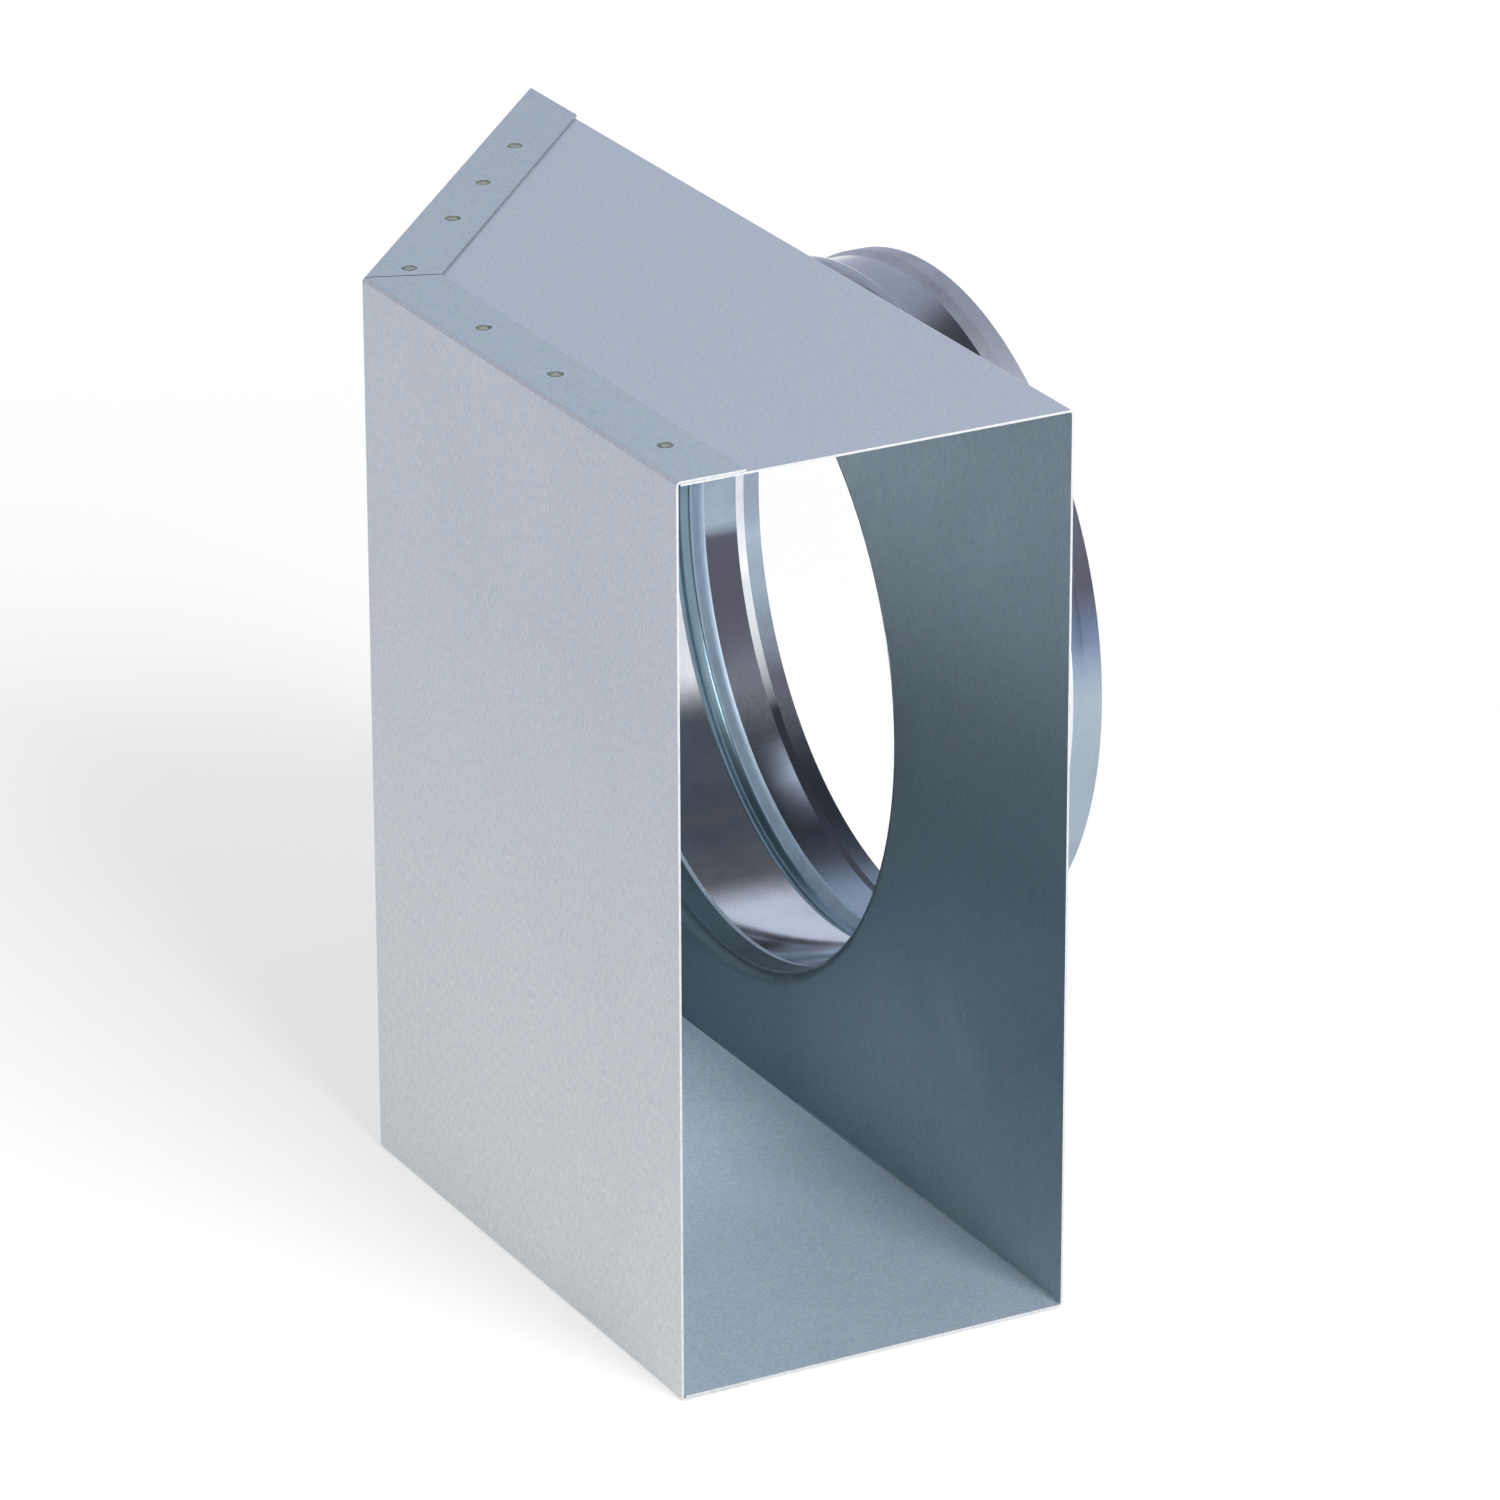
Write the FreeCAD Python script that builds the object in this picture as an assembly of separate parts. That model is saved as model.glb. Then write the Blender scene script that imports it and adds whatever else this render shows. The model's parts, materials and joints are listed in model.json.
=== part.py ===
"""Flat-to-round duct elbow: a folded sheet steel box with a slanted back and a round side collar.

Three sheets make it. A channel holds the top, the bottom and the wall with the round hole. A
wrapper folds round the other two sides and laps the channel. A rolled collar slips over the lip
that is turned out of the round hole. Lengths are in millimetres. The elbow stands on its bottom
flanges, with its flat mouth facing -Y and its collar facing +X.
"""
import FreeCAD, Part

import math
import os

from FreeCAD import Vector

# Sheet stock
SHEET = 0.5
FOLD_RADIUS = 0.5
LAP_GAP = 0.05

# Rectangular body, over its outer faces
MOUTH_WIDTH = 90.0
BODY_HEIGHT = 200.0
SHORT_SIDE = 140.0
LONG_SIDE = 240.0

# Laps of the wrapper over the channel
FLANGE_WIDTH = 15.5
MITRE_SLIT = 0.4
REAR_LAP_WIDTH = 7.25
CORNER_RELIEF = 3.0
RELIEF_SLOT = 0.4

# Spot welds, placed as shares of the length of their lap
WELD_RADIUS = 2.2
WELD_DEPTH = 0.15
WELD_SETBACK = 8.0
SIDE_WELDS = (0.14, 0.48, 0.71)
DEFLECTOR_WELDS = (0.06, 0.31, 0.495, 0.69)
REAR_LAP_WELDS = (0.12, 0.37, 0.63, 0.88)

# Lip turned out of the round hole, flush with the collar's bore
LIP_HEIGHT = 7.5
LIP_BEND_RADIUS = 2.5
LIP_TO_REAR_LAP = 1.75

# Round collar, measured outwards from the wall that carries it
COLLAR_BORE_RADIUS = 76.0
COLLAR_LENGTH = 51.0
SOCKET_SLOPE = 1.0
BEAD_START = 29.0
BEAD_WIDTH = 6.5
BEAD_RISE = 1.8
BEAD_FLANK = 2.0
BEAD_RADIUS = 0.8
RIM_START = 44.5
RIM_RISE = 0.9
RIM_SLOPE = 2.5

# Flats that stand for a round, to keep what is small light: degrees that each one turns in a bend
# round the collar's axis, and how many go round a spot weld
ROUND_BEND_STEP = 30.0
FLATS_ROUND_WELD = 8

# Sizes that follow
OUTER_FOLD_RADIUS = FOLD_RADIUS + SHEET
LAP_STEP = SHEET + LAP_GAP
CHEEK_SETBACK = SHEET + FOLD_RADIUS
LIP_OUTER_RADIUS = COLLAR_BORE_RADIUS + SHEET
LIP_FOOT_RADIUS = LIP_OUTER_RADIUS + LIP_BEND_RADIUS
LIP_SEAT_RADIUS = LIP_FOOT_RADIUS + SHEET
SOCKET_RADIUS = LIP_OUTER_RADIUS + LAP_GAP

# Reach of cutting blocks past the sheet, and the closeness that counts as one place
SPARE = 10.0
SAME_PLACE = 1e-6

# Directions and plan corners
UP = Vector(0, 0, 1)
MOUTH_TO_REAR = Vector(0, 1, 0)
COLLAR_AXIS = Vector(1, 0, 0)
SIDE_CORNER = Vector(0, SHORT_SIDE, 0)
REAR_CORNER = Vector(MOUTH_WIDTH, LONG_SIDE, 0)
ALONG_DEFLECTOR = (REAR_CORNER - SIDE_CORNER).normalize()
OFF_DEFLECTOR = Vector(ALONG_DEFLECTOR.y, -ALONG_DEFLECTOR.x, 0)
DEFLECTOR_LENGTH = SIDE_CORNER.distanceToPoint(REAR_CORNER)


def deflector_point(inset, x):
    """Plan point at the given x on the deflector's outer face, moved into the duct by the inset."""
    start = SIDE_CORNER + OFF_DEFLECTOR * inset
    return start + ALONG_DEFLECTOR * ((x - start.x) / ALONG_DEFLECTOR.x)


def rear_fold_centre():
    """Centre of the sharp fold at the rear corner, in plan."""
    return deflector_point(CHEEK_SETBACK, MOUTH_WIDTH + LAP_GAP - FOLD_RADIUS)


def rear_lap_end():
    """Depth at which the rear lap over the wall with the collar ends."""
    return rear_fold_centre().y - REAR_LAP_WIDTH


def collar_centre():
    """Where the collar's axis leaves the outer face of its wall, so far from the rear lap that the
    bend of the lip clears it."""
    depth = rear_lap_end() - LIP_TO_REAR_LAP - LIP_FOOT_RADIUS
    return Vector(MOUTH_WIDTH, depth, BODY_HEIGHT / 2)


def shifted_corners(corners, distance):
    """Corners of an open polyline moved to its left."""
    directions = [(after - before).normalize() for before, after in zip(corners, corners[1:])]
    normals = [Vector(-direction.y, direction.x, 0) for direction in directions]
    shifted = [corners[0] + normals[0] * distance]
    for corner, first, second in zip(corners[1:-1], normals, normals[1:]):
        shifted.append(corner + (first + second) * (distance / (1 + first.dot(second))))
    shifted.append(corners[-1] + normals[-1] * distance)
    return shifted


def flats_along(bend):
    """Equal flats that follow the arc of a bend."""
    turn = math.degrees(bend.LastParameter - bend.FirstParameter)
    points = bend.discretize(max(1, round(turn / ROUND_BEND_STEP)) + 1)
    return [Part.makeLine(first, second) for first, second in zip(points, points[1:])]


def bent_path(corners, radii, in_flats):
    """Edges along a polyline, with an arc or flats at each inner corner that has a radius."""
    edges = []
    start = corners[0]
    for before, corner, after, radius in zip(corners, corners[1:], corners[2:], radii):
        arriving = (corner - before).normalize()
        leaving = (after - corner).normalize()
        half_turn = arriving.getAngle(leaving) / 2
        reach = radius * math.tan(half_turn)
        to_centre = (leaving - arriving).normalize()
        arc_start = corner - arriving * reach
        arc_middle = corner + to_centre * (radius / math.cos(half_turn) - radius)
        arc_end = corner + leaving * reach
        edges.append(Part.makeLine(start, arc_start))
        if radius > 0:
            bend = Part.Arc(arc_start, arc_middle, arc_end).toShape()
            edges += flats_along(bend) if in_flats else [bend]
        start = arc_end
    edges.append(Part.makeLine(start, corners[-1]))
    return edges


def folded_section(corners, inside_radii, in_flats=False):
    """Section of a folded sheet whose metal lies to the left of the given corners.

    A corner whose inside radius is 0 is a plain crease. The bends are arcs, or flats if asked.
    """
    near_radii = []
    far_radii = []
    for before, corner, after, inside in zip(corners, corners[1:], corners[2:], inside_radii):
        turns_left = (corner - before).cross(after - corner).z > 0
        outside = inside + SHEET if inside else 0
        near_radii.append(outside if turns_left else inside)
        far_radii.append(inside if turns_left else outside)
    far_corners = shifted_corners(corners, SHEET)
    edges = bent_path(corners, near_radii, in_flats) + bent_path(far_corners, far_radii, in_flats)
    edges.append(Part.makeLine(corners[0], far_corners[0]))
    edges.append(Part.makeLine(corners[-1], far_corners[-1]))
    return Part.Face(Part.Wire(Part.sortEdges(edges)[0]))


def stood_upright(section):
    """The section turned from the plan onto the plane of X and Z."""
    section.rotate(Vector(), COLLAR_AXIS, 90)
    return section


def plan_prism(corners, bottom, top):
    """Upright block over a plan outline."""
    outline = Part.makePolygon(list(corners) + [corners[0]])
    block = Part.Face(outline).extrude(UP * (top - bottom))
    block.translate(UP * bottom)
    return block


def collar_ring(profile, inside_radii):
    """Ring of sheet about the collar's axis, from corners given as (reach, radius)."""
    corners = [Vector(reach, radius, 0) for reach, radius in profile]
    section = folded_section(corners, inside_radii, in_flats=True)
    ring = stood_upright(section).revolve(Vector(), COLLAR_AXIS, 360)
    ring.translate(collar_centre())
    return ring


def top_and_bottom(shape):
    """The shape and its mirror image about the body's middle height."""
    return [shape, shape.mirror(UP * (BODY_HEIGHT / 2), UP)]


def flange_welds():
    """Plan places of the welds that hold the flanges to the top and the bottom."""
    places = [Vector(WELD_SETBACK, share * SHORT_SIDE, 0) for share in SIDE_WELDS]
    start = SIDE_CORNER + OFF_DEFLECTOR * WELD_SETBACK
    places += [start + ALONG_DEFLECTOR * (share * DEFLECTOR_LENGTH) for share in DEFLECTOR_WELDS]
    return places


def rear_lap_welds():
    """Places of the welds down the middle of the rear lap, in the plane of the side wall."""
    depth = rear_lap_end() + REAR_LAP_WIDTH / 2
    return [Vector(0, depth, share * BODY_HEIGHT) for share in REAR_LAP_WELDS]


def electrode_mark(place, outward):
    """Tip of a round electrode, with a few flats round it, pressed into the face at the place."""
    rim = Part.makeCircle(WELD_RADIUS, place - outward * WELD_DEPTH, outward)
    tip = Part.Face(Part.makePolygon(rim.discretize(FLATS_ROUND_WELD + 1)))
    return tip.extrude(outward * (2 * WELD_DEPTH))


def weld_marks(flange_level, flange_outward, lap_face, lap_outward):
    """Marks of all the welds on one sheet, from the level and the face that the welds press."""
    marks = []
    for place in flange_welds():
        marks += top_and_bottom(electrode_mark(place + UP * flange_level, flange_outward))
    for place in rear_lap_welds():
        marks.append(electrode_mark(place + COLLAR_AXIS * lap_face, lap_outward))
    return marks


def channel_body():
    """Top, wall and bottom folded from one sheet and cut to the slanted plan."""
    low, high = LAP_STEP, BODY_HEIGHT - LAP_STEP
    corners = [Vector(CHEEK_SETBACK, low, 0), Vector(MOUTH_WIDTH, low, 0),
               Vector(MOUTH_WIDTH, high, 0), Vector(CHEEK_SETBACK, high, 0)]
    section = stood_upright(folded_section(corners, [FOLD_RADIUS] * 2))
    body = section.extrude(MOUTH_TO_REAR * (rear_fold_centre().y - LAP_GAP))
    slant_start = deflector_point(CHEEK_SETBACK, CHEEK_SETBACK)
    slant_end = deflector_point(CHEEK_SETBACK, MOUTH_WIDTH + SPARE)
    plan = [Vector(), Vector(slant_end.x, 0, 0), slant_end, slant_start,
            Vector(0, slant_start.y, 0)]
    return body.common(plan_prism(plan, 0, BODY_HEIGHT))


def lip_seat():
    """Round opening in the flat wall that the lip's ring fills."""
    start = collar_centre() - COLLAR_AXIS * SPARE
    return Part.makeCylinder(LIP_SEAT_RADIUS, 2 * SPARE, start, COLLAR_AXIS)


def hole_lip():
    """Ring of the wall that turns out round the hole and carries the collar."""
    profile = [(-SHEET, LIP_SEAT_RADIUS), (-SHEET, COLLAR_BORE_RADIUS),
               (LIP_HEIGHT, COLLAR_BORE_RADIUS)]
    return collar_ring(profile, [LIP_BEND_RADIUS])


def channel_sheet():
    """The channel with its round hole, its turned-out lip and its weld marks."""
    sheet = channel_body().cut(lip_seat()).fuse(hole_lip()).removeSplitter()
    ceiling = BODY_HEIGHT - LAP_STEP - SHEET
    return sheet.cut(weld_marks(ceiling, UP * -1, MOUTH_WIDTH - SHEET, COLLAR_AXIS * -1))


def wrapper_block(inset, radius):
    """Block inside the wrapper's outer faces by the inset, with its folds rounded."""
    corner = deflector_point(inset, inset)
    far_end = corner + ALONG_DEFLECTOR * (DEFLECTOR_LENGTH + SPARE)
    side_end = Vector(inset, -SPARE, 0)
    low, high = inset, BODY_HEIGHT - inset
    block = plan_prism([side_end, Vector(far_end.x, -SPARE, 0), far_end, corner], low, high)
    fold_middles = [corner + UP * (BODY_HEIGHT / 2)]
    for end in (side_end, far_end):
        fold_middles += [(corner + end) / 2 + UP * low, (corner + end) / 2 + UP * high]
    folds = [edge for edge in block.Edges
             if min(edge.CenterOfMass.distanceToPoint(middle) for middle in fold_middles) < SAME_PLACE]
    return block.makeFillet(radius, folds)


def flange_band():
    """Block that holds the two walls and their flanges, from the mouth to the collar's wall."""
    plan = [Vector(-SPARE, 0, 0), Vector(FLANGE_WIDTH, 0, 0),
            deflector_point(FLANGE_WIDTH, FLANGE_WIDTH), deflector_point(FLANGE_WIDTH, MOUTH_WIDTH),
            Vector(MOUTH_WIDTH, LONG_SIDE + SPARE, 0), Vector(-SPARE, LONG_SIDE + SPARE, 0)]
    return plan_prism(plan, 0, BODY_HEIGHT)


def mitre_slit():
    """Slit between the two top flanges, along the line that halves their corner."""
    across = (MOUTH_TO_REAR + ALONG_DEFLECTOR).normalize()
    inwards = Vector(across.y, -across.x, 0)
    near = SIDE_CORNER - inwards * SPARE - across * (MITRE_SLIT / 2)
    far = near + inwards * (SPARE + 2 * FLANGE_WIDTH)
    plan = [near, far, far + across * MITRE_SLIT, near + across * MITRE_SLIT]
    return plan_prism(plan, BODY_HEIGHT - OUTER_FOLD_RADIUS, BODY_HEIGHT)


def rear_notch():
    """End of the deflector that gives way to the sharp fold, between the two corner reliefs."""
    near = rear_fold_centre() - OFF_DEFLECTOR * SPARE
    far = rear_fold_centre() + OFF_DEFLECTOR * FOLD_RADIUS
    plan = [near, far, far + ALONG_DEFLECTOR * SPARE, near + ALONG_DEFLECTOR * SPARE]
    low = CORNER_RELIEF - RELIEF_SLOT
    return plan_prism(plan, low, BODY_HEIGHT - low)


def rear_lap():
    """Sharp fold at the rear corner and the lap that it lays on the wall with the collar."""
    lap_face = MOUTH_WIDTH + LAP_STEP
    join = rear_fold_centre() - OFF_DEFLECTOR * OUTER_FOLD_RADIUS - ALONG_DEFLECTOR * SHEET
    corners = [Vector(lap_face, rear_lap_end(), 0), deflector_point(0, lap_face), join]
    lap = folded_section(corners, [FOLD_RADIUS]).extrude(UP * (BODY_HEIGHT - 2 * CORNER_RELIEF))
    lap.translate(UP * CORNER_RELIEF)
    return lap


def wrapper_sheet():
    """Side wall and slanted deflector with their mitred flanges, rear lap and weld marks."""
    skin = wrapper_block(0, OUTER_FOLD_RADIUS).cut(wrapper_block(SHEET, FOLD_RADIUS))
    sheet = skin.common(flange_band()).cut(top_and_bottom(mitre_slit()) + [rear_notch()])
    sheet = sheet.fuse(rear_lap()).removeSplitter()
    return sheet.cut(weld_marks(BODY_HEIGHT, UP, MOUTH_WIDTH + LAP_STEP, COLLAR_AXIS))


def round_collar():
    """Rolled collar with a socket that slips over the lip, a stop bead and an opened rim."""
    socket_start = LIP_BEND_RADIUS + LAP_GAP
    socket_end = LIP_HEIGHT + LAP_GAP
    bead_end = BEAD_START + BEAD_WIDTH
    crest = COLLAR_BORE_RADIUS + BEAD_RISE
    rim = COLLAR_BORE_RADIUS + RIM_RISE
    profile = [(socket_start, SOCKET_RADIUS), (socket_end, SOCKET_RADIUS),
               (socket_end + SOCKET_SLOPE, COLLAR_BORE_RADIUS), (BEAD_START, COLLAR_BORE_RADIUS),
               (BEAD_START + BEAD_FLANK, crest), (bead_end - BEAD_FLANK, crest),
               (bead_end, COLLAR_BORE_RADIUS), (RIM_START, COLLAR_BORE_RADIUS),
               (RIM_START + RIM_SLOPE, rim), (COLLAR_LENGTH, rim)]
    inside_radii = [0] * 2 + [BEAD_RADIUS] * 4 + [0] * 2
    return collar_ring(profile, inside_radii)


def main():
    """Builds the three sheets about the middle of the footprint and writes one file for each."""
    os.makedirs("parts", exist_ok=True)
    footprint_middle = Vector((MOUTH_WIDTH + COLLAR_LENGTH) / 2, LONG_SIDE / 2, 0)
    sheets = {"channel_sheet": channel_sheet(), "wrapper_sheet": wrapper_sheet(),
              "round_collar": round_collar()}
    for name, sheet in sheets.items():
        sheet.translate(footprint_middle * -1)
        sheet.exportStep(f"parts/{name}.step")


main()
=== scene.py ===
"""Looks of the flat-to-round duct elbow: three galvanised sheets, spot welds and a plain studio.

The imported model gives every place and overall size. The channel and the wrapper keep the shape of
their solids, with smoothly shaded bends and bright cut edges. The collar is swept anew from its
section by a node tree, and another tree presses one weld print at each weld's place.
"""
import json
import logging
import math
from collections.abc import Callable
from dataclasses import dataclass, field
from enum import Enum
from typing import ClassVar

import bmesh
import bpy
from mathutils import Euler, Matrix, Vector
from mathutils.bvhtree import BVHTree


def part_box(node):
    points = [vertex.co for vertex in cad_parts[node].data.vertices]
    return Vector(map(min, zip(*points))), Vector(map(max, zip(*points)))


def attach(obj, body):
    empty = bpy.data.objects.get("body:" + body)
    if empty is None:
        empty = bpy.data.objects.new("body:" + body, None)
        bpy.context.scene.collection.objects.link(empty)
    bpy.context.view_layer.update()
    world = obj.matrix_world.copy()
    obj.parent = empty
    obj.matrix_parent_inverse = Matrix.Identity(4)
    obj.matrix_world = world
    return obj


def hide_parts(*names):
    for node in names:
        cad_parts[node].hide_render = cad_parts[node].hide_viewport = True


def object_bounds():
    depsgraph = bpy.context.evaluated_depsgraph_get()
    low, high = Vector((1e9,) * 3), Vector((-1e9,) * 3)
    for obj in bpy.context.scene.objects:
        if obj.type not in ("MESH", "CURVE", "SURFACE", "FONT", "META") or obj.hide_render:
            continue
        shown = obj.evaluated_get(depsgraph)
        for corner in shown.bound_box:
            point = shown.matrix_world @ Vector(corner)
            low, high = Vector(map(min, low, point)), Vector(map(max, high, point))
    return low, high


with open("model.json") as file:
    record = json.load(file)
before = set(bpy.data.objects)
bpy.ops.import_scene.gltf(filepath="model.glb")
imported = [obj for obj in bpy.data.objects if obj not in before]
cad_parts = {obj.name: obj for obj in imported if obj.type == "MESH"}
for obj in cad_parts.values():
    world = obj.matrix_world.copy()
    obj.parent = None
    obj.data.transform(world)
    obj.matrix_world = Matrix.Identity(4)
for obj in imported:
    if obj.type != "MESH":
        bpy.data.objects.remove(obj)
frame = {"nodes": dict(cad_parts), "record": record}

CAD_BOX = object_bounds()
LOG = logging.getLogger("duct_elbow")

Colour = tuple[float, float, float]
Place = tuple[float, float, float]
Range = tuple[float, float]
Socket = bpy.types.NodeSocket
Piece = bpy.types.Object
Sheet = bmesh.types.BMesh
Face = bmesh.types.BMFace
# What each input of a node gets, by its name or its number: an output or a plain value
Inputs = dict[str | int, object]

MM = 0.001
FULL_TURN = 2 * math.pi
QUARTER_TURN = math.pi / 2
SAME_POINT = 0.001 * MM
# A face whose normal has more than this along an axis faces along it
SQUARE_ON = 0.9
# The part of a noise's range over which soft patches fade
SOFTLY: Range = (0.3, 0.7)


class Body(Enum):
    """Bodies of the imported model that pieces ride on."""

    ROOT = "root"


class Slot(Enum):
    """Material slots of the record."""

    CHANNEL = "channel_galvanised"
    WRAPPER = "wrapper_galvanised"
    COLLAR = "collar_bright"
    WELD = "weld_tint"


class Grain(Enum):
    """How the rolled grain of a sheet lies: how fine it is along X, Y and Z."""

    UPRIGHT = (1.0, 1.0, 0.5)
    ROUND_THE_COLLAR = (1.0, 0.6, 0.6)


@dataclass(frozen=True)
class Noise:
    """A soft pattern: one blotch's width in metres, its finer layers and how strong they are."""

    size: float
    layers: float
    strength: float = 0.5


class NodeGraph:
    """Adds nodes to a tree and joins them, so that a finish reads as a list of steps."""

    # Sockets that share a name with others: those of the mix node, then of the random node
    MIX_INPUTS: ClassVar[tuple[int, ...]] = (0, 6, 7)
    MIX_RESULT: ClassVar[int] = 2
    RANDOM_MOST: ClassVar[int] = 3
    RANDOM_RESULT: ClassVar[int] = 1

    def __init__(self, tree: bpy.types.NodeTree) -> None:
        """Keeps the tree that the nodes go into."""
        self.tree = tree

    def add(self, kind: str, inputs: Inputs | None = None, **settings: object) -> bpy.types.Node:
        """Adds one node.

        Args:
            kind: The node's type name.
            inputs: What its inputs get.
            settings: Properties to set on the node.

        Returns:
            The new node.
        """
        node = self.tree.nodes.new(kind)
        for name, value in settings.items():
            setattr(node, name, value)
        for name, value in (inputs or {}).items():
            self.feed(node.inputs[name], value)
        return node

    def step(self, kind: str, inputs: Inputs | None = None, output: str | int = 0,
             **settings: object) -> Socket:
        """Adds one node, as add does, and gives its first output or the one that is asked for."""
        return self.add(kind, inputs, **settings).outputs[output]

    def feed(self, socket: Socket, value: object) -> None:
        """Joins an output to the socket, or sets the socket to a plain value.

        Args:
            socket: The socket of a node.
            value: The output or the plain value, where a colour has three numbers.
        """
        if isinstance(value, Socket):
            self.tree.links.new(value, socket)
        elif socket.type == "RGBA":
            socket.default_value = (*value, 1.0)
        else:
            socket.default_value = value

    def maths(self, operation: str, first: object, second: object = 0.0) -> Socket:
        """Works out one sum.

        Args:
            operation: The name of the operation.
            first: The first number or output.
            second: The second number or output.

        Returns:
            The result's output.
        """
        return self.step("ShaderNodeMath", {0: first, 1: second}, operation=operation)

    def spread(self, value: object, low: object, high: object, to_low: float = 0.0,
               to_high: float = 1.0) -> Socket:
        """Stretches a range of values over another one, smoothly and without going past it.

        Args:
            value: The output to stretch.
            low: Where the range starts.
            high: Where the range ends.
            to_low: What the start becomes.
            to_high: What the end becomes.

        Returns:
            The stretched output.
        """
        inputs = dict(enumerate((value, low, high, to_low, to_high)))
        return self.step("ShaderNodeMapRange", inputs, interpolation_type="SMOOTHSTEP")

    def blend(self, share: object, first: object, second: object,
              blend_type: str = "MIX") -> Socket:
        """Mixes two colours.

        Args:
            share: How much of the second colour shows.
            first: The first colour or output.
            second: The second colour or output.
            blend_type: How the two are put together.

        Returns:
            The mixed colour's output.
        """
        inputs = dict(zip(self.MIX_INPUTS, (share, first, second)))
        return self.step("ShaderNodeMix", inputs, self.MIX_RESULT, data_type="RGBA",
                         blend_type=blend_type)

    def noise(self, place: Socket, pattern: Noise) -> Socket:
        """Adds soft noise, about 0.5 on average, that follows the coordinates of a place."""
        return self.step("ShaderNodeTexNoise", {
            "Vector": place, "Scale": 1.0 / pattern.size,
            "Detail": pattern.layers, "Roughness": pattern.strength,
        })


class SurfaceGraph(NodeGraph):
    """The nodes of a new material, with its shader's sockets and the Object coordinates."""

    def __init__(self, name: str) -> None:
        """Makes the material.

        Args:
            name: The material's name.
        """
        self.material = bpy.data.materials.new(name)
        self.material.use_nodes = True
        super().__init__(self.material.node_tree)
        self.surface = self.tree.nodes["Principled BSDF"].inputs
        self.place = self.step("ShaderNodeTexCoord", output="Object")

    def attribute(self, name: str, output: str = "Fac") -> Socket:
        """Reads an attribute of the mesh as a number, or as the output that is named."""
        return self.step("ShaderNodeAttribute", output=output, attribute_name=name)

    def under_tint_and_light(self, colour: Socket) -> Socket:
        """Lays the mesh's tint and painted light and shade over the clean metal's colour."""
        return self.blend(self.attribute(TintAndPaintedLight.SHARE), colour, self.attribute(TintAndPaintedLight.TINT, "Color"),
                          "MULTIPLY")

    def hills(self, height: Socket, depth: float, under: Socket | None = None) -> Socket:
        """Turns a pattern into fine relief.

        Args:
            height: The pattern.
            depth: How deep the relief is, in metres.
            under: The normal of a finer relief that this one bends.

        Returns:
            The normal's output.
        """
        inputs = {"Distance": depth, "Height": height}
        if under is not None:
            inputs["Normal"] = under
        return self.step("ShaderNodeBump", inputs)

    def about(self, middle: float, varies: float, noise: Socket) -> Socket:
        """A number that wanders with a noise by a share of itself, up and down."""
        return self.spread(noise, *SOFTLY, middle * (1 - varies), middle * (1 + varies))

    def dressed(self, colour: Socket, metallic: float, roughness: Socket,
                normal: Socket) -> bpy.types.Material:
        """Feeds the shader.

        Args:
            colour: The base colour's output.
            metallic: How much of a metal the surface is.
            roughness: The roughness's output.
            normal: The normal's output.

        Returns:
            The finished material.
        """
        for name, value in (("Base Color", colour), ("Metallic", metallic),
                            ("Roughness", roughness), ("Normal", normal)):
            self.feed(self.surface[name], value)
        return self.material


class ShapeGraph(NodeGraph):
    """A geometry node tree with named inputs, which ends by dressing what it has made."""

    def __init__(self, name: str, inputs: dict[str, str]) -> None:
        """Makes the tree with its sockets.

        Args:
            name: The tree's name.
            inputs: The kind of each named input, apart from the start and the finish.
        """
        super().__init__(bpy.data.node_groups.new(name, "GeometryNodeTree"))
        face = self.tree.interface
        for label, kind in {"Start": "Geometry", **inputs, "Finish": "Material"}.items():
            face.new_socket(label, in_out="INPUT", socket_type="NodeSocket" + kind)
        face.new_socket("Dressed", in_out="OUTPUT", socket_type="NodeSocketGeometry")
        self.given = self.add("NodeGroupInput").outputs

    def attribute(self, name: str, kind: str) -> Socket:
        """Reads an attribute of the points, of the kind that is named."""
        return self.step("GeometryNodeInputNamedAttribute", {"Name": name}, data_type=kind)

    def keep(self, shape: Socket, name: str, value: Socket) -> Socket:
        """Stores a number at each point of a shape, where a finish can read it."""
        return self.step("GeometryNodeStoreNamedAttribute",
                         {"Geometry": shape, "Name": name, "Value": value},
                         data_type="FLOAT", domain="POINT")

    def dressed(self, shape: Socket) -> bpy.types.NodeTree:
        """Ends the tree: makes copies real and gives them the finish.

        Args:
            shape: The geometry to end with.

        Returns:
            The finished tree.
        """
        real = self.step("GeometryNodeRealizeInstances", {"Geometry": shape})
        finished = self.step("GeometryNodeSetMaterial", {
            "Geometry": real, "Material": self.given["Finish"]})
        self.add("NodeGroupOutput", {"Dressed": finished})
        return self.tree

    @staticmethod
    def give(piece: Piece, tree: bpy.types.NodeTree, values: dict[str, object]) -> None:
        """Puts a tree on an object and sets its named inputs.

        Args:
            piece: The object that gets the modifier.
            tree: The node tree.
            values: What each named input is set to.
        """
        modifier = piece.modifiers.new(tree.name, "NODES")
        modifier.node_group = tree
        for item in tree.interface.items_tree:
            if item.item_type == "SOCKET" and item.in_out == "INPUT" and item.name in values:
                modifier[item.identifier] = values[item.name]


def warmed(colour: Colour, warmth: float) -> Colour:
    """Colour with more red and less blue by a share of each, or less and more below zero."""
    red, green, blue = colour
    return red * (1 + warmth), green, blue * (1 - warmth)


def scaled(colour: Colour, factor: float) -> Colour:
    """Colour made lighter or darker by a factor, but never past white."""
    return tuple(min(1.0, part * factor) for part in colour)


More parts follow.
